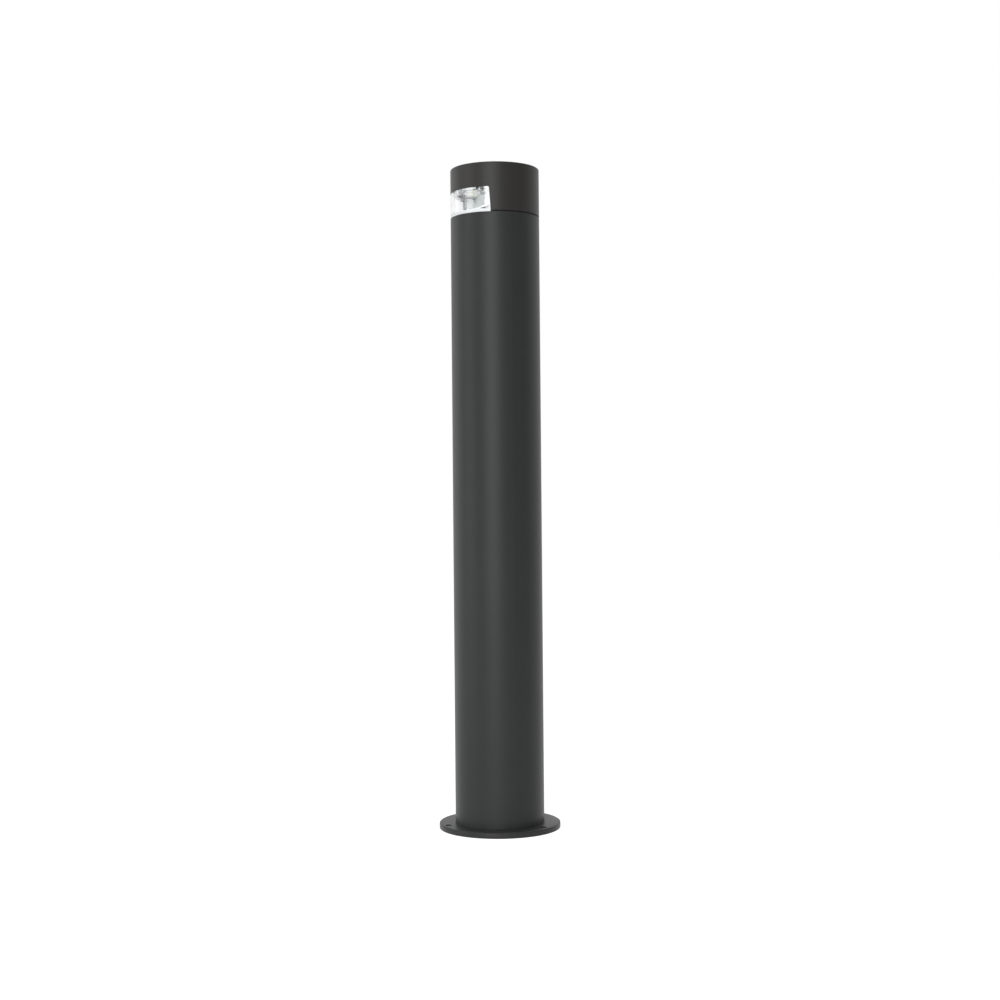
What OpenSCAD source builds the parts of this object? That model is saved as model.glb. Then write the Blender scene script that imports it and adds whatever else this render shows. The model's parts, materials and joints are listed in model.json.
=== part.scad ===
// Bollard light: a round extruded column on a cast base plate, closed by a die-cast cap.
// A notch in the cap holds a clear window that looks along -Y, over a white reflector.
// The origin is on the ground, on the column's axis. Azimuths are counted from -Y towards +X.

/* [Column] */
// Height from the ground to the top of the cap
total_h = 800; // [700:10:1100]
// Outside diameter of the column and the cap
column_d = 108; // [106:1:112]
// Wall of the column tube
column_wall = 3; // [2.5:0.5:3]

/* [Base plate] */
// Diameter of the base plate
flange_d = 147; // [146:1:160]
// Thickness of the base plate
flange_h = 7; // [6:0.5:9]
// Pitch circle of the three anchor holes
anchor_pcd = 133; // [131:1:135]
// Diameter of an anchor hole
anchor_d = 8; // [7:0.5:8.5]
// Hole in the base plate for the conduit
conduit_d = 60; // [50:1:66]

/* [Head] */
// Height of the head above the top of the column
head_h = 59.5; // [58:0.5:64]
// Height of the solid band above the window
band_h = 29.5; // [28:0.5:31]
// Wall of the cap
cap_wall = 4; // [3.5:0.5:4]
// Half of the window's angle at mid height
window_half = 62.4; // [56:0.1:63]
// How much wider each side of the window is at its foot than at its top
window_draft = 1.8; // [0:0.1:2.4]

/* [Light unit] */
// Number of light sources on the board
led_count = 6; // [3:1:7]
// Length of the driver
driver_l = 160; // [140:1:165]
// Width of the driver
driver_w = 42; // [36:1:44]
// Depth of the driver
driver_t = 30; // [24:1:32]

/* [Hidden] */
$fn = 96;
over = 1;

// Colours
coat = "#3d3e3e";
bare_cast = "#a9acae";
steel = "#b9bcc0";
zinc = "#c3c6c8";
white_part = "#eceeee";
black_rubber = "#1c1c1d";
black_plastic = "#2a2b2d";

// Column and base plate
column_r = column_d / 2;
bore_r = column_r - column_wall;
seam_z = total_h - head_h;
flange_r = flange_d / 2;
flange_top_round = 1.5;
flange_foot_round = 0.8;
collar_h = 2.5;
collar_gap = 0.05;
collar_edge = 0.3;
fit_gap = 0.2;
register_h = 5;
register_t = 4;
anchor_az = [0, 120, 240];

// Screw ports of the extrusion
port_az = [0, 120, 240];
port_pitch_r = bore_r - 8;
port_r = 4.8;
port_hole_r = 2.8;
port_slot = 2.2;
port_web = 5;
port_clear = 0.6;

// Countersunk screws from below
flat_head_r = 6;
flat_shank_r = 2.75;
flat_hole_r = 3.1;
flat_sink = 0.3;
flat_screw_l = 26;

// Plug that closes the column
plug_t = 4;
plug_top = seam_z + plug_t;
plug_r = column_r - cap_wall - fit_gap;
spigot_r = bore_r - fit_gap;
spigot_t = 3.5;
spigot_h = 18;
set_z = seam_z - spigot_h / 2;
set_r = 2.5;
set_boss_w = 14;
set_boss_r = 42;
set_tip_r = 44.5;
set_sink = 0.6;

// Seal between column and cap
gasket_t = 1.5;
gasket_in_r = bore_r - 0.1;
gasket_out_r = column_r - 1.4;

// Cap
cap_low = seam_z + gasket_t;
cap_in_r = column_r - cap_wall;
cap_roof = 4;
roof_z = total_h - cap_roof;
cap_top_round = 1.5;
cap_foot_round = 0.5;
window_top = total_h - band_h;
window_corner_r = 1.5;

// Light plate under the roof, with the bosses that carry it
ceiling_z = window_top + 3;
plate_t = 3;
plate_r = cap_in_r - 0.4;
boss_pitch_r = cap_in_r - 4.5;
boss_r = 4.8;
boss_hole_r = 1.65;
boss_hole_h = 12;
lug_az = [0, 47, -47];
rear_az = [125, -125];
tie_az = [90, 150, -150, -90];
tie_pitch_r = cap_in_r - 7;
tie_r = 4.5;
tie_rib = 4;
tie_hole_h = 14;
small_hole_r = 2.25;
small_shank_r = 1.6;
pan_r = 3.8;
pan_h = 3.2;

// Window: outer panel, rim behind it, flange behind the cap's wall
lens_out_r = column_r - 0.2;
lens_in_r = column_r - 3.2;
lens_gap = 0.2;
lens_lip_r = gasket_out_r + 0.1;
lens_lip_z = seam_z + 0.1;
lens_rim = 2.2;
lens_flange_in_r = cap_in_r - 3;
lens_flange_out_r = cap_in_r - 0.8;
lens_flange_half = window_half + 3.1;
lens_lug_t = 4;
lens_lug_w = 9;
seal_edge = 0.3;

// Reflector
refl_r = cap_in_r - 3.7;
refl_t = 1.8;
refl_front_y = -refl_r + 0.3;
refl_back_y = -11;
refl_top = ceiling_z - 1.8;
refl_floor = plug_top + 1;
refl_steps = 18;
refl_foot = [25, -18];
refl_foot_r = 3.5;
refl_pilot_r = 1.35;
refl_pilot_h = 8;

// Board
board_t = 1.5;
board_r = 37;
board_back_y = -2;
board_front_y = -35;
board_low = ceiling_z - board_t;
led_r = 28;
led_half = 54;
led_w = 3.5;
led_h = 1;
board_fix = [[-30, -16], [30, -16], [0, -16]];
tiny_hole_r = 1.7;
tiny_shank_r = 1.4;
tiny_head_r = 2.8;
tiny_head_h = 2;
plug_size = [9, 5, 6];
plug_y = -5;

// Gear tray and what it carries
tray_y = 14;
sheet_t = 1.5;
bend_r = 1.5;
tray_w = 60;
tray_side = 12;
tray_flange = 17;
tray_low = seam_z - 270;
tray_side_low = tray_low + 8;
tray_side_top = seam_z - 15;
tab_w = 40;
tab_reach = 30;
tray_fix = [18, 25];
driver_top = seam_z - 20;
driver_low = driver_top - driver_l;
driver_round = 3;
foot_l = 10;
foot_w = 18;
foot_t = 3;
foot_hole = 6;
block_low = tray_low + 50;
block_h = 20;
block_w = 32;
block_d = 18;
block_ear = 7;
pole_pitch = 10;
pole_y = tray_y - 9;
pole_hole_r = 2.2;
well_r = 2.7;
earth_x = 20;
earth_z = tray_low + 22;
grommet_y = 3;
grommet_r = 5;
grommet_lip = 1.5;
grommet_lip_t = 1.2;
grommet_hole_r = 2.2;

// Cable gland in the tray's tab
gland_thread_r = 8;
gland_bore_r = 5.25;
gland_af = 22;
gland_hex_h = 5;
gland_up = 9;
gland_down = 12;
gland_nut_h = 5;
gland_cap_h = 16;
gland_seal_h = 9;

// Leads: corners of their routes by hand, and the radius of every bend
lead_r = 2;
lead_bend = 8;
thin_lead_r = 1.4;
thin_lead_bend = 5.6;
lead_seat = 7;
lead_into_bow = 0.4;
lead_bow_more = 0.03;
plug_foot = ceiling_z - seam_z - board_t - plug_size[2];
led_route = [
    [0, plug_y, plug_foot], [0, plug_y, 21], [0, grommet_y, 11],
    [0, grommet_y, -8], [0, 0, -14], [0, 0, driver_top - seam_z]
];
driver_gap = driver_low - block_low - block_h;
input_routes = [
    [[0, pole_y, -lead_seat], [0, pole_y, 4], [0, 0, 9], [0, 0, driver_gap]],
    [[-pole_pitch, pole_y, -lead_seat], [-pole_pitch, pole_y, 4], [-5, 0, 11],
        [-5, 0, driver_gap]]
];
earth_route = [
    [pole_pitch, pole_y, lead_seat], [pole_pitch, pole_y, -3.5], [earth_x, tray_y - 2, -10],
    [earth_x, tray_y - 2, earth_z + 13 - block_low]
];

// A point at azimuth a and radius r from the axis
module at_azimuth(a, r, z = 0) {
    rotate([0, 0, a])
        translate([0, -r, z])
            children();
}

// A shape laid out from the axis along -Y, at its own azimuth
module radial(a, r, z) {
    rotate([0, 0, a])
        translate([0, -r, z])
            rotate([90, 0, 0])
                children();
}

// Round wall between two radii and two heights
module ring(r_in, r_out, low, high) {
    translate([0, 0, low])
        difference() {
            cylinder(r = r_out, h = high - low);
            translate([0, 0, -over])
                cylinder(r = r_in, h = high - low + 2 * over);
        }
}

// Part of a round wall between two azimuths
module ring_part(r_in, r_out, low, high, from, to) {
    rotate([0, 0, from - 90])
        rotate_extrude(angle = to - from)
            translate([r_in, low])
                square([r_out - r_in, high - low]);
}

// Half section of a disc with a rounded top edge and a rounded foot edge
module soft_slab(r, h, top_round, foot_round) {
    square([r - foot_round, h - top_round]);
    square([r - top_round, h]);
    translate([0, foot_round])
        square([r, h - top_round - foot_round]);
    translate([r - top_round, h - top_round])
        circle(r = top_round, $fn = 48);
    translate([r - foot_round, foot_round])
        circle(r = foot_round, $fn = 48);
}

// Pan head screw that points up, seated at z = 0
module pan_screw(head_r, head_h, shank_r, length) {
    slot_w = head_r * 0.24;
    slot_l = head_r * 1.2;
    difference() {
        union() {
            translate([0, 0, -head_h])
                rotate_extrude()
                    mirror([0, 1])
                        translate([0, -head_h])
                            soft_half(head_r, head_h, head_h * 0.45);
            cylinder(r = shank_r, h = length, $fn = 32);
        }
        for (turn = [0, 90])
            rotate([0, 0, turn])
                translate([-slot_l / 2, -slot_w / 2, -head_h - over])
                    cube([slot_l, slot_w, over + head_h * 0.5]);
    }
}

// Half section of a screw head with a rounded crown
module soft_half(r, h, round) {
    square([r - round, h]);
    square([r, h - round]);
    translate([r - round, h - round])
        circle(r = round, $fn = 32);
}

// Countersunk screw that points up, with its face at z = 0
module flat_screw(length) {
    difference() {
        union() {
            cylinder(r1 = flat_head_r - flat_sink, r2 = flat_hole_r,
                h = flat_head_r - flat_sink - flat_hole_r, $fn = 48);
            cylinder(r = flat_shank_r, h = length, $fn = 32);
        }
        translate([0, 0, -over])
            cylinder(r = 2.3, h = 2.2 + over, $fn = 6);
    }
}

// Lead: straight runs along a route, whose ends go into slightly fatter bends at its corners
module lead(route, r, bend) {
    last = len(route) - 1;
    along = [for (i = [0 : last - 1]) unit(route[i + 1] - route[i])];
    turns = [for (i = [0 : last])
        i == 0 || i == last ? 0 : acos(along[i - 1] * along[i])];
    cuts = [for (t = turns) t == 0 ? 0 : bend * tan(t / 2) - lead_into_bow];
    for (i = [0 : last - 1])
        lead_run(route[i] + cuts[i] * along[i], route[i + 1] - cuts[i + 1] * along[i], r);
    for (i = [1 : last - 1])
        lead_bow(route[i], along[i - 1], along[i], turns[i], r + lead_bow_more, bend);
}
function unit(v) = v / norm(v);

// Straight run of a lead between two points
module lead_run(from, to, r) {
    way = to - from;
    translate(from)
        rotate([0, acos(way[2] / norm(way)), atan2(way[1], way[0])])
            cylinder(r = r, h = norm(way), $fn = 32);
}

// Round bend of a lead at a corner, from direction u to direction v
module lead_bow(corner, u, v, turn, r, bend) {
    inward = unit(v - (u * v) * u);
    side = cross(u, inward);
    centre = corner - bend * tan(turn / 2) * u + bend * inward;
    multmatrix([
        [-inward[0], u[0], side[0], centre[0]],
        [-inward[1], u[1], side[1], centre[1]],
        [-inward[2], u[2], side[2], centre[2]]
    ])
        rotate_extrude(angle = turn)
            translate([bend, 0])
                circle(r = r, $fn = 32);
}

// Cast base plate with a groove for the tube between its collar and its register
module base_flange() {
    color(coat)
        difference() {
            union() {
                rotate_extrude()
                    soft_slab(flange_r, flange_h, flange_top_round, flange_foot_round);
                rotate_extrude()
                    foot_collar();
                difference() {
                    ring(spigot_r - register_t, spigot_r, flange_h - over, flange_h + register_h);
                    for (a = port_az)
                        at_azimuth(a, port_pitch_r, flange_h)
                            port_space(register_h + over);
                }
            }
            translate([0, 0, -over])
                cylinder(d = conduit_d, h = flange_h + 2 * over);
            for (a = anchor_az)
                at_azimuth(a, anchor_pcd / 2, -over)
                    cylinder(d = anchor_d, h = flange_h + 2 * over);
            for (a = port_az)
                at_azimuth(a, port_pitch_r)
                    flat_seat();
        }
}

// Countersunk seat, cut upwards from the face at z = 0
module flat_seat() {
    cylinder(r1 = flat_head_r, r2 = flat_hole_r, h = flat_head_r - flat_hole_r, $fn = 48);
    translate([0, 0, -over])
        cylinder(r = flat_hole_r, h = flange_h + 2 * over, $fn = 48);
}

// Section of the small cast fillet round the foot of the tube
module foot_collar() {
    inner = column_r + collar_gap;
    difference() {
        translate([inner, flange_h - over])
            square([collar_h, collar_h + over]);
        translate([inner + collar_edge + collar_h, flange_h + collar_h])
            circle(r = collar_h);
    }
}

// Extruded tube with three open screw ports inside
module column() {
    color(coat)
        difference() {
            translate([0, 0, flange_h])
                linear_extrude(height = seam_z - flange_h)
                    column_section();
            radial(180, bore_r - over, set_z)
                cylinder(r = set_r, h = column_wall + 2 * over, $fn = 48);
        }
}

// Section of the extrusion
module column_section() {
    difference() {
        union() {
            difference() {
                circle(r = column_r);
                circle(r = bore_r);
            }
            for (a = port_az)
                rotate(a)
                    translate([0, -port_pitch_r]) {
                        circle(r = port_r, $fn = 48);
                        translate([-port_web / 2, port_pitch_r - bore_r - 0.5])
                            square([port_web, bore_r - port_pitch_r + 0.5]);
                    }
        }
        for (a = port_az)
            rotate(a)
                translate([0, -port_pitch_r]) {
                    circle(r = port_hole_r, $fn = 48);
                    translate([-port_slot / 2, 0])
                        square([port_slot, port_r + over]);
                }
    }
}

// Space that a screw port and its web take up, with room round them
module port_space(h) {
    reach = bore_r - port_pitch_r;
    cylinder(r = port_r + port_clear, h = h);
    translate([-port_web / 2 - port_clear, -reach, 0])
        cube([port_web + 2 * port_clear, reach, h]);
}

// Three screws that pull the tube onto the base plate
module column_screws() {
    color(steel)
        for (a = port_az)
            at_azimuth(a, port_pitch_r, flat_sink)
                flat_screw(flat_screw_l);
}

// Flat seal on the end of the tube, set back to leave the shadow line
module seam_gasket() {
    color(black_rubber)
        ring(gasket_in_r, gasket_out_r, seam_z, cap_low);
}

// Cast plug: a disc on the screw ports, with a spigot inside the tube
module head_base() {
    color(bare_cast)
        difference() {
            union() {
                translate([0, 0, seam_z])
                    cylinder(r = plug_r, h = plug_t);
                ring(spigot_r - spigot_t, spigot_r, seam_z - spigot_h, seam_z);
                set_boss();
            }
            for (a = port_az)
                at_azimuth(a, port_pitch_r, seam_z - spigot_h - over)
                    port_space(spigot_h + over);
            for (a = tie_az)
                at_azimuth(a, tie_pitch_r, seam_z - over)
                    cylinder(r = small_hole_r, h = plug_t + 2 * over, $fn = 48);
            for (side = [-1, 1]) {
                translate([side * tray_fix[0], tray_fix[1], seam_z - over])
                    cylinder(r = boss_hole_r, h = plug_t + 2 * over, $fn = 48);
                translate([side * refl_foot[0], refl_foot[1], seam_z - over])
                    cylinder(r = tiny_hole_r, h = plug_t + 2 * over, $fn = 48);
            }
            translate([0, grommet_y, seam_z - over])
                cylinder(r = grommet_r, h = plug_t + 2 * over, $fn = 48);
            radial(180, set_tip_r, set_z)
                cylinder(r = set_r, h = spigot_r, $fn = 48);
        }
}

// Thick part of the spigot that takes the set screw
module set_boss() {
    intersection() {
        translate([-set_boss_w / 2, set_boss_r, seam_z - spigot_h])
            cube([set_boss_w, spigot_r, spigot_h]);
        translate([0, 0, seam_z - spigot_h])
            cylinder(r = spigot_r, h = spigot_h);
    }
}

// Set screw at the back, through the tube into the spigot
module set_screw() {
    length = column_r - set_sink - set_tip_r;
    color(steel)
        radial(180, set_tip_r, set_z)
            difference() {
                cylinder(r = set_r, h = length, $fn = 48);
                translate([0, 0, length - 3])
                    cylinder(r = 1.5, h = 3 + over, $fn = 6);
            }
}

// Space of the window, drawn in by inset at its sides and top, from a lowest height up
module window_space(inset, low) {
    middle = window_half - 14;
    near = cap_in_r - 14;
    far = column_r + 6;
    ring_part(near, far, low, window_top - inset, -middle, middle);
    for (turn = [0, 1])
        mirror([turn, 0, 0])
            radial(window_half, near, 0)
                linear_extrude(height = far - near)
                    window_side(inset, low);
}

// Outline of the window's side strip, with a leaning edge and a small top corner
module window_side(inset, low) {
    top = window_top - inset;
    lean = atan(window_draft / (window_top - cap_low));
    high_u = -window_draft / 2 - inset;
    low_u = high_u + (top - low) * tan(lean);
    corner_in = window_corner_r * (1 - sin(lean)) / cos(lean);
    centre = [high_u - corner_in, top - window_corner_r];
    foot = centre + window_corner_r * [cos(lean), sin(lean)];
    difference() {
        polygon([[-16, low], [low_u, low], [high_u, top], [-16, top]]);
        polygon([centre, foot, [high_u + over, top + over], [centre[0], top + over]]);
    }
    translate(centre)
        circle(r = window_corner_r, $fn = 32);
}

// Die-cast cap: round shell with the notch, bosses under the roof and long tie bosses
module head_cap() {
    color(coat)
        difference() {
            union() {
                rotate_extrude()
                    cap_section();
                for (a = concat(lug_az, rear_az))
                    at_azimuth(a, boss_pitch_r, ceiling_z + plate_t)
                        cylinder(r = boss_r, h = roof_z - ceiling_z - plate_t + over, $fn = 48);
                for (a = tie_az)
                    at_azimuth(a, tie_pitch_r, plug_top)
                        tie_boss();
            }
            window_space(0, cap_low - over);
            for (a = concat(lug_az, rear_az))
                at_azimuth(a, boss_pitch_r, ceiling_z + plate_t - over)
                    cylinder(r = boss_hole_r, h = boss_hole_h + over, $fn = 48);
            for (a = tie_az)
                at_azimuth(a, tie_pitch_r, plug_top - over)
                    cylinder(r = boss_hole_r, h = tie_hole_h + over, $fn = 48);
        }
}

// Half section of the cap's shell
module cap_section() {
    translate([0, cap_low])
        difference() {
            soft_slab(column_r, total_h - cap_low, cap_top_round, cap_foot_round);
            translate([-over, -over])
                square([cap_in_r + over, roof_z - cap_low + over]);
        }
}

// Boss from the roof to the plug, tied to the wall by a rib
module tie_boss() {
    height = roof_z - plug_top + over;
    cylinder(r = tie_r, h = height, $fn = 48);
    translate([-tie_rib / 2, tie_pitch_r - cap_in_r - 0.5, 0])
        cube([tie_rib, cap_in_r - tie_pitch_r + 0.5, height]);
}

// Screws from below the plug into the tie bosses
module tie_screws() {
    color(steel)
        for (a = tie_az)
            at_azimuth(a, tie_pitch_r, seam_z)
                pan_screw(pan_r, pan_h, small_shank_r, plug_t + 10);
}

// Clear window: panel flush with the cap, rim, drip lip, flange behind the wall, lugs
module lens() {
    color("#dfe9ec", 0.45)
        difference() {
            union() {
                intersection() {
                    union() {
                        ring(lens_in_r, lens_out_r, cap_low + lens_gap, window_top);
                        ring(cap_in_r, lens_in_r + over, cap_low + lens_gap, plug_top);
                        ring(lens_flange_out_r, lens_in_r + over, plug_top, window_top);
                        ring(lens_lip_r, lens_out_r, lens_lip_z, cap_low + lens_gap);
                    }
                    window_space(lens_gap, lens_lip_z - over);
                }
                ring_part(lens_flange_in_r, lens_flange_out_r, plug_top, ceiling_z,
                    -lens_flange_half, lens_flange_half);
                intersection() {
                    cylinder(r = lens_flange_out_r, h = total_h);
                    for (a = lug_az)
                        at_azimuth(a, boss_pitch_r, ceiling_z - lens_lug_t)
                            lens_lug();
                }
            }
            lens_pocket();
            for (a = lug_az)
                at_azimuth(a, boss_pitch_r, ceiling_z - lens_lug_t) {
                    translate([0, 0, -over])
                        cylinder(r = small_hole_r, h = lens_lug_t + 2 * over, $fn = 48);
                    translate([0, 0, -pan_h - over])
                        cylinder(r = pan_r + 0.3, h = pan_h + over, $fn = 48);
                }
        }
}

// What is hollow behind the clear panel, inside the rim
module lens_pocket() {
    intersection() {
        union() {
            ring(lens_flange_in_r - 2, lens_in_r, cap_low + lens_gap + lens_rim, window_top);
            ring(lens_flange_in_r - 2, lens_flange_out_r + 0.1, plug_top - over, window_top);
        }
        window_space(lens_gap + lens_rim, cap_low);
    }
}

// Lug of the window, between the plate and a screw head
module lens_lug() {
    cylinder(r = lens_lug_w / 2, h = lens_lug_t, $fn = 48);
    translate([-lens_lug_w / 2, boss_pitch_r - lens_flange_in_r - 1, 0])
        cube([lens_lug_w, lens_flange_in_r - boss_pitch_r + 1, lens_lug_t]);
}

// Thin seal between the window's flange and the wall of the cap
module lens_seal() {
    color(black_rubber)
        difference() {
            ring_part(lens_flange_out_r, cap_in_r, plug_top, ceiling_z - seal_edge,
                -lens_flange_half, lens_flange_half);
            window_space(-seal_edge, plug_top - over);
        }
}

// Screws up through the window's lugs and the plate into the cap
module lens_screws() {
    color(steel) {
        for (a = lug_az)
            at_azimuth(a, boss_pitch_r, ceiling_z - lens_lug_t)
                pan_screw(pan_r, pan_h, small_shank_r, 14);
        for (a = rear_az)
            at_azimuth(a, boss_pitch_r, ceiling_z)
                pan_screw(pan_r, pan_h, small_shank_r, 12);
    }
}

// Aluminium plate under the roof: carries the board, white from below
module led_plate() {
    color(white_part)
        difference() {
            translate([0, 0, ceiling_z])
                cylinder(r = plate_r, h = plate_t);
            for (a = concat(lug_az, rear_az))
                at_azimuth(a, boss_pitch_r, ceiling_z - over)
                    cylinder(r = small_hole_r, h = plate_t + 2 * over, $fn = 48);
            for (a = tie_az)
                at_azimuth(a, tie_pitch_r, ceiling_z - over) {
                    cylinder(r = tie_r + 0.5, h = plate_t + 2 * over, $fn = 48);
                    translate([-tie_rib / 2 - 0.5, tie_pitch_r - column_r, 0])
                        cube([tie_rib + 1, column_r - tie_pitch_r, plate_t + 2 * over]);
                }
            for (p = board_fix)
                translate([p[0], p[1], ceiling_z - over])
                    cylinder(r = tiny_shank_r, h = plate_t + 2 * over, $fn = 48);
        }
}

// White board under the front half of the plate
module led_board() {
    color("#f4f5f3")
        difference() {
            intersection() {
                translate([0, 0, board_low])
                    cylinder(r = board_r, h = board_t);
                translate([-board_r, board_front_y, board_low])
                    cube([2 * board_r, board_back_y - board_front_y, board_t]);
            }
            for (p = board_fix)
                translate([p[0], p[1], board_low - over])
                    cylinder(r = tiny_hole_r, h = board_t + 2 * over, $fn = 48);
        }
}

// Light sources in an arc on the board
module led_chips() {
    color("#f2dd8a")
        for (i = [0 : led_count - 1])
            at_azimuth(-led_half + 2 * led_half * i / (led_count - 1), led_r, board_low - led_h)
                translate([-led_w / 2, -led_w / 2, 0])
                    cube([led_w, led_w, led_h]);
}

// Small screws that hold the board to the plate
module board_screws() {
    color(steel)
        for (p = board_fix)
            translate([p[0], p[1], board_low])
                pan_screw(tiny_head_r, tiny_head_h, tiny_shank_r, board_t + 2.5);
}

// Connector under the board, behind the reflector
module board_connector() {
    color(white_part)
        translate([-plug_size[0] / 2, plug_y - plug_size[1] / 2, board_low - plug_size[2]])
            difference() {
                cube(plug_size);
                translate([1.2, -over, 1.5])
                    cube([plug_size[0] - 2.4, over + 0.8, plug_size[2] - 3]);
            }
}

// White moulding: a concave wall that rises from a front lip to the plate, on two feet
module reflector() {
    color(white_part)
        difference() {
            union() {
                intersection() {
                    translate([0, 0, plug_top])
                        cylinder(r = refl_r, h = refl_top - plug_top);
                    cove(refl_t);
                    translate([-refl_r, -refl_r, plug_top])
                        cube([2 * refl_r, refl_r + refl_back_y + refl_t, refl_top - plug_top]);
                }
                for (side = [-1, 1])
                    translate([side * refl_foot[0], refl_foot[1], plug_top])
                        cylinder(r = refl_foot_r, h = refl_floor - plug_top + 8, $fn = 48);
            }
            intersection() {
                cove(0);
                union() {
                    translate([0, 0, plug_top - over])
                        cylinder(r = refl_r - refl_t, h = refl_top);
                    ring_part(cap_in_r - 10, column_r, plug_top - over, total_h,
                        -window_half, window_half);
                }
            }
            for (side = [-1, 1])
                translate([side * refl_foot[0], refl_foot[1], plug_top - over])
                    cylinder(r = refl_pilot_r, h = refl_pilot_h + over, $fn = 48);
        }
}

// Space over a quarter ellipse in the YZ plane, grown by a wall, swept along X
module cove(wall) {
    depth = refl_back_y - refl_front_y + wall;
    rise = refl_top - refl_floor + wall;
    curve = [for (i = [0 : refl_steps])
        let (t = 90 * i / refl_steps)
        [refl_front_y + depth * sin(t), refl_top - rise * cos(t)]];
    translate([-column_r, 0, 0])
        rotate([90, 0, 90])
            linear_extrude(height = 2 * column_r)
                polygon(concat(
                    [[-column_r - over, refl_top - rise]],
                    curve,
                    [[refl_front_y + depth, total_h], [-column_r - over, total_h]]
                ));
}

// Screws from below the plug into the reflector's feet
module reflector_screws() {
    color(steel)
        for (side = [-1, 1])
            translate([side * refl_foot[0], refl_foot[1], seam_z])
                pan_screw(tiny_head_r, tiny_head_h, refl_pilot_r - 0.05, plug_t + 7);
}

// Rubber grommet in the plug, round the lead
module lead_grommet() {
    color(black_rubber)
        translate([0, grommet_y, seam_z - grommet_lip_t])
            rotate_extrude()
                difference() {
                    square([grommet_r + grommet_lip, plug_t + 2 * grommet_lip_t]);
                    translate([-over, -over])
                        square([grommet_hole_r + over, plug_t + 2 * grommet_lip_t + 2 * over]);
                    translate([grommet_r, grommet_lip_t])
                        square([grommet_lip + over, plug_t]);
                }
}

// Quarter of a bend in the sheet, round the origin
module bend() {
    intersection() {
        difference() {
            circle(r = bend_r + sheet_t, $fn = 32);
            circle(r = bend_r, $fn = 32);
        }
        square([bend_r + sheet_t, bend_r + sheet_t]);
    }
}

// Folded tray: back, two sides, a flange under the plug and a tab for the gland
module gear_tray() {
    color(zinc)
        difference() {
            union() {
                tray_channel();
                tray_flange_fold();
                tray_tab_fold();
            }
            for (side = [-1, 1])
                translate([side * tray_fix[0], tray_fix[1], seam_z - sheet_t - over])
                    cylinder(r = small_hole_r, h = sheet_t + 2 * over, $fn = 48);
            translate([0, 0, tray_low - over])
                cylinder(r = gland_thread_r + 0.1, h = sheet_t + 2 * over);
            for (z = [driver_low - foot_hole, driver_top + foot_hole])
                tray_hole(0, z, tiny_shank_r);
            for (side = [-1, 1])
                tray_hole(side * (block_w + block_ear) / 2, block_low + block_h / 2, tiny_shank_r);
            tray_hole(earth_x, earth_z, tiny_shank_r + 0.6);
        }
}

// Round hole through the back of the tray
module tray_hole(x, z, r) {
    translate([x, tray_y + sheet_t + over, z])
        rotate([90, 0, 0])
            cylinder(r = r, h = sheet_t + 2 * over, $fn = 48);
}

// Back and sides of the tray, folded away from the driver
module tray_channel() {
    half = tray_w / 2;
    run = bend_r + sheet_t;
    translate([0, 0, tray_side_low])
        linear_extrude(height = tray_side_top - tray_side_low) {
            translate([-half + run, tray_y])
                square([tray_w - 2 * run, sheet_t]);
            for (turn = [0, 1])
                mirror([turn, 0]) {
                    translate([half - run, tray_y + run])
                        mirror([0, 1])
                            bend();
                    translate([half - sheet_t, tray_y + run])
                        square([sheet_t, tray_side - run]);
                }
        }
    translate([-half + run, tray_y, tray_low + run])
        cube([tray_w - 2 * run, sheet_t, seam_z - tray_low - 2 * run]);
}

// Flange at the top, folded back under the plug
module tray_flange_fold() {
    run = bend_r + sheet_t;
    width = tray_w - 2 * run;
    translate([-width / 2, tray_y + run, seam_z - run])
        rotate([90, 0, 90])
            linear_extrude(height = width) {
                mirror([1, 0])
                    bend();
                translate([0, bend_r])
                    square([tray_flange - run, sheet_t]);
            }
}

// Tab at the foot, folded forward under the driver
module tray_tab_fold() {
    run = bend_r + sheet_t;
    translate([-tab_w / 2, tray_y - bend_r, tray_low + run])
        rotate([90, 0, 90])
            linear_extrude(height = tab_w) {
                mirror([0, 1])
                    bend();
                translate([-tab_reach + bend_r, -run])
                    square([tab_reach - bend_r, sheet_t]);
            }
}

// Screws that hang the tray from the plug
module tray_screws() {
    color(steel)
        for (side = [-1, 1])
            translate([side * tray_fix[0], tray_fix[1], seam_z - sheet_t])
                pan_screw(pan_r, pan_h, small_shank_r, sheet_t + plug_t);
}

// Power supply in a closed moulded case, with a foot at each end
module driver() {
    half = driver_w / 2;
    front = tray_y - driver_t;
    color(white_part)
        difference() {
            union() {
                translate([0, 0, driver_low])
                    linear_extrude(height = driver_l) {
                        translate([-half, front + driver_round])
                            square([driver_w, driver_t - driver_round]);
                        translate([-half + driver_round, front])
                            square([driver_w - 2 * driver_round, driver_t]);
                        for (side = [-1, 1])
                            translate([side * (half - driver_round), front + driver_round])
                                circle(r = driver_round, $fn = 32);
                    }
                translate([-foot_w / 2, tray_y - foot_t, driver_low - foot_l])
                    cube([foot_w, foot_t, driver_l + 2 * foot_l]);
            }
            for (z = [driver_low - foot_hole, driver_top + foot_hole])
                translate([0, tray_y + over, z])
                    rotate([90, 0, 0])
                        cylinder(r = tiny_hole_r, h = foot_t + 2 * over, $fn = 48);
            for (z = [driver_low + 6, driver_top - 7])
                driver_groove(z);
        }
}

// Groove round the case, where an end cover snaps on
module driver_groove(z) {
    translate([0, 0, z])
        difference() {
            translate([-driver_w, tray_y - 2 * driver_t, 0])
                cube([2 * driver_w, 2 * driver_t - foot_t - 0.5, 1]);
            translate([-driver_w / 2 + 0.6, tray_y - driver_t + 0.6, -over])
                cube([driver_w - 1.2, driver_t, 1 + 2 * over]);
        }
}

// A small screw that points backwards from the front of the tray
module back_screw(x, y, z) {
    translate([x, y, z])
        rotate([-90, 0, 0])
            pan_screw(tiny_head_r, tiny_head_h, tiny_shank_r, tray_y - y + sheet_t + 2);
}

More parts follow.
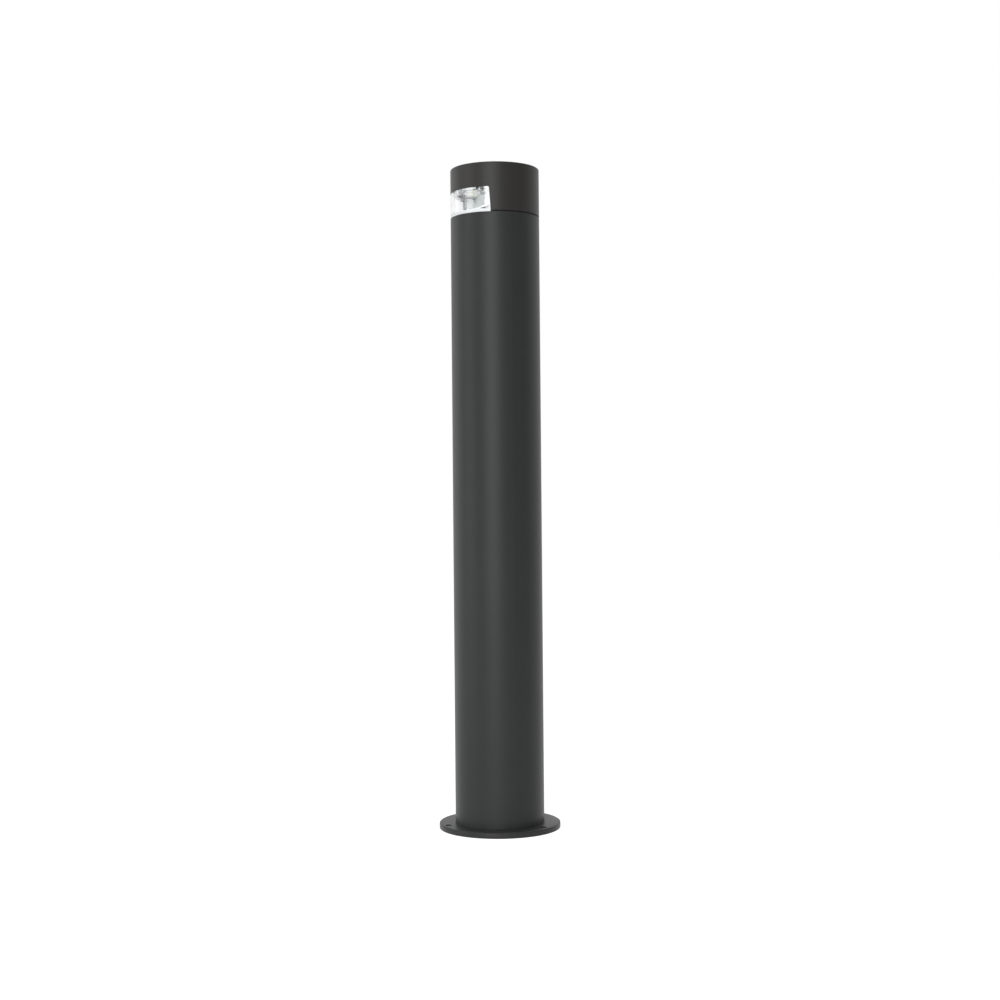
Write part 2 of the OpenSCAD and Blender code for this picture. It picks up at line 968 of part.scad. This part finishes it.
// Screws through the driver's feet
module driver_screws() {
    color(steel)
        for (z = [driver_low - foot_hole, driver_top + foot_hole])
            back_screw(0, tray_y - foot_t, z);
}

// Three-pole terminal block with an ear at each side
module terminal_block() {
    color("#d8dad6")
        difference() {
            union() {
                translate([-block_w / 2, tray_y - block_d, block_low])
                    cube([block_w, block_d, block_h]);
                translate([-block_w / 2 - block_ear, tray_y - foot_t, block_low + 5])
                    cube([block_w + 2 * block_ear, foot_t, block_h - 10]);
            }
            for (i = [-1, 0, 1]) {
                translate([i * pole_pitch, pole_y, block_low - over])
                    cylinder(r = pole_hole_r, h = block_h + 2 * over, $fn = 32);
                for (z = [5, block_h - 5])
                    translate([i * pole_pitch, pole_y, block_low + z])
                        rotate([90, 0, 0])
                            cylinder(r = well_r, h = block_d, $fn = 32);
            }
            for (side = [-1, 1])
                translate([side * (block_w + block_ear) / 2, tray_y + over, block_low + block_h / 2])
                    rotate([90, 0, 0])
                        cylinder(r = tiny_hole_r, h = foot_t + 2 * over, $fn = 48);
        }
}

// Clamp screws in the wells of the block
module terminal_screws() {
    color(steel)
        for (i = [-1, 0, 1], z = [5, block_h - 5])
            translate([i * pole_pitch, tray_y - block_d + 2, block_low + z])
                rotate([-90, 0, 0])
                    difference() {
                        cylinder(r = well_r, h = pole_y - lead_r - tray_y + block_d - 2, $fn = 32);
                        translate([-well_r, -0.4, -over])
                            cube([2 * well_r, 0.8, over + 1]);
                    }
}

// Screws through the ears of the block
module block_screws() {
    color(steel)
        for (side = [-1, 1])
            back_screw(side * (block_w + block_ear) / 2, tray_y - foot_t, block_low + block_h / 2);
}

// Screw that earths the tray
module earth_screw() {
    color(steel)
        translate([earth_x, tray_y - sheet_t, earth_z])
            rotate([-90, 0, 0])
                pan_screw(pan_r, pan_h, tiny_shank_r + 0.55, 2 * sheet_t + 4);
}

// Ring terminal under the earth screw, with its barrel turned up to the lead
module earth_ring() {
    barrel = 2 * thin_lead_r + 1.2;
    color(zinc)
        translate([earth_x, tray_y, earth_z])
            rotate([90, 0, 0])
                difference() {
                    union() {
                        cylinder(r = 4.5, h = sheet_t, $fn = 48);
                        translate([-barrel / 2, 0, 0])
                            cube([barrel, 6, sheet_t]);
                        translate([-barrel / 2, 5, 0])
                            cube([barrel, 8, barrel]);
                    }
                    translate([0, 0, -over])
                        cylinder(r = tiny_shank_r + 0.7, h = sheet_t + 2 * over, $fn = 48);
                }
}

// Six-sided prism with a size across its flats
module hex(af, h) {
    cylinder(r = af / 2 / cos(30), h = h, $fn = 6);
}

// Body of the cable gland: thread up through the tab, thread down for the cap
module gland_body() {
    color(black_plastic)
        translate([0, 0, tray_low])
            difference() {
                union() {
                    translate([0, 0, -gland_hex_h])
                        hex(gland_af, gland_hex_h);
                    translate([0, 0, -gland_hex_h - gland_down])
                        cylinder(r = gland_thread_r, h = gland_hex_h + gland_down + sheet_t + gland_up);
                }
                translate([0, 0, -gland_hex_h - gland_down - over])
                    cylinder(r = gland_bore_r, h = 60);
                translate([0, 0, -gland_hex_h - gland_down - over])
                    cylinder(r = gland_thread_r - 1.2, h = gland_seal_h + over - 2);
            }
}

// Lock nut on top of the tab
module gland_nut() {
    color(black_plastic)
        translate([0, 0, tray_low + sheet_t])
            difference() {
                hex(gland_af, gland_nut_h);
                translate([0, 0, -over])
                    cylinder(r = gland_thread_r, h = gland_nut_h + 2 * over);
            }
}

// Rubber seal that closes round the supply cable
module gland_seal() {
    color(black_rubber)
        ring(gland_bore_r, gland_thread_r - 1.2, tray_low - gland_hex_h - gland_down - 2,
            tray_low - gland_hex_h - gland_down + gland_seal_h - 2);
}

// Cap nut of the gland, with a rounded nose
module gland_cap() {
    top = tray_low - gland_hex_h - 2;
    low = top - gland_cap_h;
    color(black_plastic)
        difference() {
            union() {
                translate([0, 0, top - 9])
                    hex(gland_af, 9);
                translate([0, 0, low])
                    rotate_extrude()
                        mirror([0, 1])
                            translate([0, -gland_cap_h + 4])
                                soft_half(gland_af / 2 - 0.5, gland_cap_h - 4, 4);
            }
            translate([0, 0, low - over])
                cylinder(r = gland_bore_r, h = gland_cap_h + 2 * over);
            translate([0, 0, tray_low - gland_hex_h - gland_down - 2])
                cylinder(r = gland_thread_r, h = gland_cap_h);
        }
}

// Lead from the board's connector through the grommet down to the driver
module led_lead() {
    color(white_part)
        translate([0, 0, seam_z])
            lead(led_route, lead_r, lead_bend);
}

// Two cores from the terminal block up to the driver
module input_lead() {
    color("#55575a")
        translate([0, 0, block_low + block_h])
            for (route = input_routes)
                lead(route, lead_r, lead_bend);
}

// Earth lead from the terminal block down to the ring terminal
module earth_lead() {
    color("#7fa33a")
        translate([0, 0, block_low])
            lead(earth_route, thin_lead_r, thin_lead_bend);
}

base_flange();
column();
column_screws();
seam_gasket();
head_base();
head_cap();
tie_screws();
set_screw();
lens();
lens_seal();
lens_screws();
led_plate();
led_board();
led_chips();
board_screws();
board_connector();
reflector();
reflector_screws();
lead_grommet();
gear_tray();
tray_screws();
driver();
driver_screws();
terminal_block();
terminal_screws();
block_screws();
earth_screw();
earth_ring();
gland_body();
gland_nut();
gland_seal();
gland_cap();
led_lead();
input_lead();
earth_lead();
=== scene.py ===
"""Bollard light, dressed for a studio picture: an anthracite column with a clear window in its cap."""
import json
import math

import bmesh
import bpy
from mathutils import Matrix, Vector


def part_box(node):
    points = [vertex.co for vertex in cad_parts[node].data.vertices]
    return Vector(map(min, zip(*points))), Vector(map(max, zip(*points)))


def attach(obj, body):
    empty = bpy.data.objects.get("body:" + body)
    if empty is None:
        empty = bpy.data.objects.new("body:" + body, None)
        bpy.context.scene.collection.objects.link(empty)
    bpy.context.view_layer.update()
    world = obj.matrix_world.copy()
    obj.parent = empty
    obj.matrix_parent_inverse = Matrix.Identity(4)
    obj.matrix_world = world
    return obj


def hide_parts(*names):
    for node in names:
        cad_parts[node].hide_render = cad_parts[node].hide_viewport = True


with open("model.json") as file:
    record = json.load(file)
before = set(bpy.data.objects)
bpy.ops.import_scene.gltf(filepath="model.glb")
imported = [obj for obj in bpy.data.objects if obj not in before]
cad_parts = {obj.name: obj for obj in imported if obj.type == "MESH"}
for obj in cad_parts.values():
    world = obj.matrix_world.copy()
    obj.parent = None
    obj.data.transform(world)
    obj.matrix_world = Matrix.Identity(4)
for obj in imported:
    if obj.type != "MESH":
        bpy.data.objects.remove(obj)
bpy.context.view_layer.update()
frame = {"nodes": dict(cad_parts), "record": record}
MM = 0.001

# Camera in degrees and millimetres, fitted to the outline of the column and the base plate's ellipses
CAMERA_AZIMUTH = 68.5
CAMERA_DISTANCE = 1926.6 * MM
CAMERA_HEIGHT = 385.9 * MM
CAMERA_ASIDE = 3.3 * MM
CAMERA_TILT_UP = 0.354
CAMERA_ROLL = -0.4945
CAMERA_LENS = 56.87
CAMERA_SENSOR = 36

# Grain, lumps and patches of the finishes
COAT_GRAIN = 1.1 * MM
COAT_CLOUD = 55 * MM
CAST_GRAIN = 1.6 * MM
HEADER_MARK = 0.25 * MM
ZINC_PATCH = 6 * MM
FLOW_CLOUD = 18 * MM
MOULD_GRAIN = 0.8 * MM
GEL_LUMP = 0.4 * MM

# The column stands on the plate's top, and what lies past this gap is outside the column
COLUMN_LOW, COLUMN_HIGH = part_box("column")
COLUMN_RADIUS = COLUMN_HIGH[0]
COLUMN_GAP = 0.01 * MM
PLATE_TOP = COLUMN_LOW[2]

# Half the window's angle in degrees at its foot and at its top, and the width of its rim there
WINDOW_FOOT_ANGLE = 63.3
WINDOW_TOP_ANGLE = 61.5
WINDOW_SIDE_RIM = 2.4 * MM
WINDOW_FOOT_RIM = 3.8 * MM

# The sill inside the window: radii, gap under it, thickness, soft edge, and degrees of its sweep
SILL_INNER = 40.3 * MM
SILL_OUTER = 45.6 * MM
SILL_GAP = 0.1 * MM
SILL_THICK = 0.9 * MM
SILL_SOFT = 0.3 * MM
SILL_HALF_ANGLE = 61.5
SILL_STEP = 2

# Meshes: points closer than this are one, and faces that meet at more degrees keep a sharp edge
MERGE = 0.001 * MM
SHARP_ANGLE = 25

# Floor: its glow to the eye, and its greys where it shows a shadow and where light bounces
FLOOR_SIZE = 14000 * MM
FLOOR_GLOW = 0.96
FLOOR_SHADE = 0.3
FLOOR_BOUNCE = 0.8

# Room: the fill, and the glow that shiny things show, up to the full white of the wall behind,
# which starts and ends its rise at two cosines to the camera's direction
WORLD_FILL = 0.24
ROOM_GLOW = 0.15
WALL_STARTS = -0.1
WALL_FULL = 0.25

# Lamps, unless one has its own
LAMP_HEIGHT = 1150 * MM
LAMP_DISTANCE = 2400 * MM
LAMP_TALL = 2200 * MM


def linear(hex_colour):
    """An sRGB hex colour as linear red, green, blue and an alpha of 1."""
    parts = [int(hex_colour[i:i + 2], 16) / 255 for i in (1, 3, 5)]
    return (*(c / 12.92 if c <= 0.04045 else ((c + 0.055) / 1.055) ** 2.4 for c in parts), 1)


def grey(level):
    """A neutral linear colour."""
    return level, level, level, 1


def add_node(tree, kind, inputs=None, **settings):
    """A new node with its settings, and with each input set to a value or linked to a socket."""
    made = tree.nodes.new(kind)
    for name, value in settings.items():
        setattr(made, name, value)
    for name, value in (inputs or {}).items():
        if isinstance(value, bpy.types.NodeSocket):
            tree.links.new(value, made.inputs[name])
        else:
            made.inputs[name].default_value = value
    return made


def start_material(name, **fixed):
    """A material with plain values on its shader's own sockets, and its Object coordinates."""
    made = bpy.data.materials.new(name)
    made.use_nodes = True
    shader = made.node_tree.nodes["Principled BSDF"]
    for socket, value in fixed.items():
        shader.inputs[socket.replace("_", " ")].default_value = value
    return made, add_node(made.node_tree, "ShaderNodeTexCoord").outputs["Object"]


def follow(made, pattern, **ranges):
    """Sockets of the shader follow a pattern, each from its first value at 0 to its last at 1.

    The values are two numbers, or two sRGB hex colours.
    """
    tree = made.node_tree
    for socket, (first, last) in ranges.items():
        if isinstance(first, str):
            value = add_node(tree, "ShaderNodeMix", {
                0: pattern, 6: linear(first), 7: linear(last)}, data_type="RGBA").outputs[2]
        else:
            value = add_node(tree, "ShaderNodeMapRange", {
                "Value": pattern, "To Min": first, "To Max": last}).outputs["Result"]
        tree.links.new(value, tree.nodes["Principled BSDF"].inputs[socket.replace("_", " ")])


def grow_lumps(made, place, size, detail, relief=0, **ranges):
    """Soft lumps of a real size, which sockets of the shader follow, and which may stand out."""
    tree = made.node_tree
    lumps = add_node(tree, "ShaderNodeTexNoise", {
        "Vector": place, "Scale": 1 / size, "Detail": detail}).outputs["Fac"]
    follow(made, lumps, **ranges)
    if relief:
        bump = add_node(tree, "ShaderNodeBump", {"Height": lumps, "Distance": relief})
        tree.links.new(bump.outputs["Normal"], tree.nodes["Principled BSDF"].inputs["Normal"])


def powder_coat(name, dark, pale):
    """Polyester powder baked on aluminium: a deep even grey with a fine orange-peel grain.

    The grain is finer than a pixel of the picture, so it is drawn a little coarser.
    """
    made, place = start_material(name, Specular_IOR_Level=0.22)
    grow_lumps(made, place, COAT_CLOUD, 3, Base_Color=(dark, pale))
    grow_lumps(made, place, COAT_GRAIN, 2, 0.02 * MM, Roughness=(0.36, 0.46))
    return made


def cast_aluminium():
    """Bare pressure-cast aluminium: a pale grey metal, dull from the skin of the die."""
    made, place = start_material("as_cast_aluminium", Metallic=1.0)
    grow_lumps(made, place, CAST_GRAIN, 3, 0.04 * MM,
               Base_Color=("#9c9fa2", "#b3b6b8"), Roughness=(0.42, 0.6))
    return made


def stainless_steel():
    """Cold-headed stainless screws: a bright metal with fine marks from the header."""
    made, place = start_material("stainless_steel", Metallic=1.0)
    grow_lumps(made, place, HEADER_MARK, 1,
               Base_Color=("#b4b6b9", "#cdcfd1"), Roughness=(0.22, 0.36))
    return made


def zinc_sheet():
    """Zinc-plated sheet steel: a cool metal with soft patches in its shine."""
    made, place = start_material("zinc_plated_sheet", Metallic=1.0)
    patches = add_node(made.node_tree, "ShaderNodeTexVoronoi", {
        "Vector": place, "Scale": 1 / ZINC_PATCH})
    follow(made, patches.outputs["Distance"],
           Base_Color=("#aeb2b6", "#c8cbce"), Roughness=(0.3, 0.45))
    return made


def synthetic_rubber():
    """Moulded EPDM rubber: black, quite matt, with a faint grain."""
    made, place = start_material("epdm_rubber", Specular_IOR_Level=0.3)
    grow_lumps(made, place, MOULD_GRAIN, 2, 0.02 * MM,
               Base_Color=("#161616", "#1f1f20"), Roughness=(0.7, 0.85))
    return made


def even_plastic(name, dark, pale, *roughness):
    """Plastic of one colour, moulded, extruded or baked on: its sheen changes slowly with the
    flow, and its skin has a faint grain."""
    made, place = start_material(name, IOR=1.5)
    grow_lumps(made, place, FLOW_CLOUD, 2, Base_Color=(dark, pale), Roughness=roughness)
    grow_lumps(made, place, MOULD_GRAIN, 2, 0.01 * MM)
    return made


def window_edge(tree, place):
    """1 on the rim at the foot and the two sides of the window, 0 on its clear panel."""
    low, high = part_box("lens")
    rim = WINDOW_SIDE_RIM / COLUMN_RADIUS
    spot = add_node(tree, "ShaderNodeSeparateXYZ", {"Vector": place}).outputs
    aside = add_node(tree, "ShaderNodeMath", {0: spot["X"]}, operation="ABSOLUTE")
    ahead = add_node(tree, "ShaderNodeMath", {0: spot["Y"], 1: -1}, operation="MULTIPLY")
    around = add_node(tree, "ShaderNodeMath", {0: aside.outputs[0], 1: ahead.outputs[0]},
                      operation="ARCTAN2")
    panel = add_node(tree, "ShaderNodeMapRange", {
        "Value": spot["Z"], "From Min": low[2], "From Max": high[2],
        "To Min": math.radians(WINDOW_FOOT_ANGLE) - rim,
        "To Max": math.radians(WINDOW_TOP_ANGLE) - rim})
    side = add_node(tree, "ShaderNodeMath", {0: around.outputs[0], 1: panel.outputs[0]},
                    operation="GREATER_THAN")
    foot = add_node(tree, "ShaderNodeMath", {0: spot["Z"], 1: low[2] + WINDOW_FOOT_RIM},
                    operation="LESS_THAN")
    edge = add_node(tree, "ShaderNodeMath", {0: side.outputs[0], 1: foot.outputs[0]},
                    operation="MAXIMUM")
    return edge.outputs[0]


def clear_polycarbonate():
    """Clear moulded polycarbonate: its panel is water-clear, and its rim is partly opaque white and
    dull, a painted glow for the light that the edge carries. Lamps shine through it, as they do
    through real thin plastic."""
    made, place = start_material("clear_polycarbonate", IOR=1.585)
    tree = made.node_tree
    # Painted glow: on the rim the lens turns partly opaque white and dull, for the light the edge
    # carries
    follow(made, window_edge(tree, place), Base_Color=("#fdfefe", "#f9fbfb"),
           Transmission_Weight=(1.0, 0.55), Roughness=(0.04, 0.5))
    clear = add_node(tree, "ShaderNodeBsdfTransparent", {"Color": linear("#fdfefe")})
    rays = add_node(tree, "ShaderNodeLightPath").outputs
    mixed = add_node(tree, "ShaderNodeMixShader", {
        0: rays["Is Shadow Ray"], 1: tree.nodes["Principled BSDF"].outputs[0], 2: clear.outputs[0]})
    tree.links.new(mixed.outputs[0], tree.nodes["Material Output"].inputs["Surface"])
    return made


def phosphor_gel():
    """Silicone gel over phosphor: as pale as it looks through the window, with a wet shine."""
    made, place = start_material("phosphor_gel", IOR=1.41)
    grow_lumps(made, place, GEL_LUMP, 2, Base_Color=("#f1eddc", "#f6f4ea"), Roughness=(0.18, 0.3))
    return made


def finish_for_each_slot():
    """The material of each slot of the record."""
    return {
        "coat": powder_coat("anthracite_powder_coat", "#303131", "#343535"),
        # The same powder on the casting: a touch paler and warmer
        "cap_coat": powder_coat("anthracite_powder_coat_on_casting", "#323130", "#363534"),
        "steel": stainless_steel(),
        "black_rubber": synthetic_rubber(),
        "bare_cast": cast_aluminium(),
        "clear_window": clear_polycarbonate(),
        # White powder on the plate over the reflector: the dullest of the whites
        "white_coat": even_plastic("white_powder_coat", "#f2f4f4", "#f7f8f8", 0.5, 0.62),
        # Moulded white: a soft shine
        "white_moulding": even_plastic("white_polycarbonate", "#f3f6f7", "#f9fbfb", 0.38, 0.5),
        # Polyamide of the terminal block: a warm pale grey
        "grey_moulding": even_plastic("light_grey_polyamide", "#cfd1cd", "#dcddd9", 0.42, 0.55),
        # Lacquer of the circuit board: white, and the glossiest of the whites
        "board_white": even_plastic("white_solder_resist", "#f0f1ee", "#f6f6f3", 0.3, 0.42),
        "led_yellow": phosphor_gel(),
        "zinc_sheet": zinc_sheet(),
        # Polyamide of the cable gland: black and satin
        "black_moulding": even_plastic("black_polyamide", "#202123", "#292a2c", 0.45, 0.6),
        # Extruded jackets of the leads: smooth, each in its colour
        "white_jacket": even_plastic("white_pvc_jacket", "#dcdedd", "#e8e9e8", 0.35, 0.5),
        "grey_jacket": even_plastic("grey_pvc_jacket", "#4c4e51", "#5a5c5f", 0.35, 0.5),
        "green_jacket": even_plastic("green_pvc_jacket", "#6f9433", "#86ad3f", 0.35, 0.5),
    }


def paint_nodes(finishes):
    """Each CAD node takes the finish of its slot."""
    for part in frame["record"]["subparts"]:
        mesh = frame["nodes"][part["node"]].data
        mesh.materials.clear()
        mesh.materials.append(finishes[part["material_slot"]])


def object_from(name, mesh, finish):
    """An object at the origin that takes a bmesh for its own, with its finish."""
    data = bpy.data.meshes.new(name)
    mesh.to_mesh(data)
    mesh.free()
    data.materials.append(finish)
    made = bpy.data.objects.new(name, data)
    bpy.context.scene.collection.objects.link(made)
    return made


def make_piece(name, mesh, slot, finishes):
    """Close a piece, turn its faces outwards and let it ride on the light, in its slot's finish."""
    bmesh.ops.remove_doubles(mesh, verts=mesh.verts[:], dist=MERGE)
    bmesh.ops.recalc_face_normals(mesh, faces=mesh.faces[:])
    piece = object_from(name, mesh, finishes[slot])
    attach(piece, "root")
    return piece


def make_window_sill(finishes):
    """White sill between the reflector's front edge and the window, over the bare plug."""
    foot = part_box("reflector")[0][2] + SILL_GAP
    head = foot + SILL_THICK
    section = [(SILL_INNER, foot), (SILL_OUTER, foot), (SILL_OUTER, head - SILL_SOFT),
               (SILL_OUTER - SILL_SOFT, head), (SILL_INNER + SILL_SOFT, head),
               (SILL_INNER, head - SILL_SOFT)]
    mesh = bmesh.new()
    ring = [mesh.verts.new((0, -radius, height)) for radius, height in section]
    face = mesh.faces.new(ring)
    bmesh.ops.rotate(mesh, verts=ring, cent=(0, 0, 0),
                     matrix=Matrix.Rotation(math.radians(-SILL_HALF_ANGLE), 3, "Z"))
    bmesh.ops.spin(mesh, geom=[face, *face.edges, *ring], cent=(0, 0, 0), axis=(0, 0, 1),
                   angle=math.radians(2 * SILL_HALF_ANGLE),
                   steps=round(2 * SILL_HALF_ANGLE / SILL_STEP), use_merge=False)
    make_piece("window_sill", mesh, "white_moulding", finishes)


def make_base_plate(finishes):
    """The base plate with a plain flat top, on which the column's foot stands with no collar."""
    mesh = bmesh.new()
    mesh.from_mesh(frame["nodes"]["base_flange"].data)
    bmesh.ops.remove_doubles(mesh, verts=mesh.verts[:], dist=MERGE)
    for corner in mesh.verts:
        if math.hypot(corner.co.x, corner.co.y) > COLUMN_RADIUS + COLUMN_GAP:
            corner.co.z = min(corner.co.z, PLATE_TOP)
    bmesh.ops.dissolve_degenerate(mesh, dist=MERGE, edges=mesh.edges[:])
    piece = make_piece("base_plate", mesh, "coat", finishes)
    piece.data.shade_smooth()
    piece.data.set_sharp_from_angle(angle=math.radians(SHARP_ANGLE))
    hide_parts("base_flange")


def seen_directly(tree):
    """1 for a ray from the camera, or one that metal or glass sends on, and 0 for the rest."""
    rays = add_node(tree, "ShaderNodeLightPath").outputs
    first = add_node(tree, "ShaderNodeMath", {0: rays["Is Camera Ray"], 1: rays["Is Glossy Ray"]},
                     operation="MAXIMUM")
    both = add_node(tree, "ShaderNodeMath", {0: first.outputs[0], 1: rays["Is Transmission Ray"]},
                    operation="MAXIMUM")
    return both.outputs[0]


def lay_floor():
    """A wide white floor that keeps a faint shadow of the object."""
    finish = bpy.data.materials.new("white_floor")
    finish.use_nodes = True
    tree = finish.node_tree
    tree.nodes.remove(tree.nodes["Principled BSDF"])
    glow = add_node(tree, "ShaderNodeEmission", {"Color": grey(1), "Strength": FLOOR_GLOW})
    shade = add_node(tree, "ShaderNodeBsdfDiffuse", {"Color": grey(FLOOR_SHADE)})
    seen = add_node(tree, "ShaderNodeAddShader", {0: glow.outputs[0], 1: shade.outputs[0]})
    plain = add_node(tree, "ShaderNodeBsdfDiffuse", {"Color": grey(FLOOR_BOUNCE)})
    mixed = add_node(tree, "ShaderNodeMixShader", {
        0: seen_directly(tree), 1: plain.outputs[0], 2: seen.outputs[0]})
    tree.links.new(mixed.outputs[0], tree.nodes["Material Output"].inputs["Surface"])
    mesh = bmesh.new()
    bmesh.ops.create_grid(mesh, x_segments=1, y_segments=1, size=FLOOR_SIZE / 2)
    object_from("studio_floor", mesh, finish)


def light_world():
    """A white surround to the eye and through glass, and a soft even fill for everything else.

    What shines shows the white wall behind the light, and the dim room in front of it.
    """
    world = bpy.data.worlds.new("studio_white")
    bpy.context.scene.world = world
    world.use_nodes = True
    tree = world.node_tree
    way = add_node(tree, "ShaderNodeTexCoord").outputs["Generated"]
    turn = math.radians(CAMERA_AZIMUTH)
    behind = add_node(tree, "ShaderNodeVectorMath", {
        0: way, 1: (-math.sin(turn), math.cos(turn), 0)}, operation="DOT_PRODUCT")
    wall = add_node(tree, "ShaderNodeMapRange", {
        "Value": behind.outputs["Value"], "From Min": WALL_STARTS, "From Max": WALL_FULL,
        "To Min": ROOM_GLOW, "To Max": 1})
    fill = add_node(tree, "ShaderNodeMapRange", {
        "Value": seen_directly(tree), "To Min": WORLD_FILL, "To Max": 1})
    rays = add_node(tree, "ShaderNodeLightPath").outputs
    shown = add_node(tree, "ShaderNodeMix", {
        0: rays["Is Glossy Ray"], 2: fill.outputs["Result"], 3: wall.outputs["Result"]},
        data_type="FLOAT")
    back = tree.nodes["Background"]
    back.inputs["Color"].default_value = grey(1)
    tree.links.new(shown.outputs[0], back.inputs["Strength"])


def softbox(name, azimuth, wide, power, tall=LAMP_TALL, height=LAMP_HEIGHT,
            distance=LAMP_DISTANCE, tilt=90):
    """A soft lamp at an azimuth counted from the camera, level at a tilt of 90, down at 0."""
    lamp = bpy.data.lights.new(name, "AREA")
    lamp.shape = "RECTANGLE"
    lamp.size = wide
    lamp.size_y = tall
    lamp.energy = power
    thing = bpy.data.objects.new(name, lamp)
    bpy.context.scene.collection.objects.link(thing)
    turn = Matrix.Rotation(math.radians(CAMERA_AZIMUTH + azimuth), 4, "Z")
    place = Matrix.Translation((0, -distance, height))
    thing.matrix_world = turn @ place @ Matrix.Rotation(math.radians(tilt), 4, "X")


def light_scene():
    """A large key at the front, a side light before the window, a strip for the left edge, and
    one overhead."""
    softbox("key", azimuth=-11, wide=1300 * MM, power=38)
    softbox("side_light", azimuth=-72, wide=1100 * MM, power=15.5)
    softbox("edge_strip", azimuth=-120, wide=600 * MM, power=3)
    softbox("overhead", azimuth=0, wide=1800 * MM, power=16, tall=1800 * MM, height=2700 * MM,
            distance=0, tilt=0)


def set_camera():
    """The camera of the photograph: just under half the light's height, almost level, and
    leaning half a degree."""
    lens = bpy.data.cameras.new("camera")
    lens.lens = CAMERA_LENS
    lens.sensor_width = CAMERA_SENSOR
    camera = bpy.data.objects.new("camera", lens)
    bpy.context.scene.collection.objects.link(camera)
    turn = Matrix.Rotation(math.radians(CAMERA_AZIMUTH), 4, "Z")
    place = Matrix.Translation((CAMERA_ASIDE, -CAMERA_DISTANCE, CAMERA_HEIGHT))
    tilt = Matrix.Rotation(math.radians(90 + CAMERA_TILT_UP), 4, "X")
    roll = Matrix.Rotation(math.radians(CAMERA_ROLL), 4, "Z")
    camera.matrix_world = turn @ place @ tilt @ roll
    bpy.context.scene.camera = camera


set_camera()
finishes = finish_for_each_slot()
paint_nodes(finishes)
make_window_sill(finishes)
make_base_plate(finishes)
lay_floor()
light_world()
light_scene()
bpy.context.scene.view_settings.view_transform = "Standard"
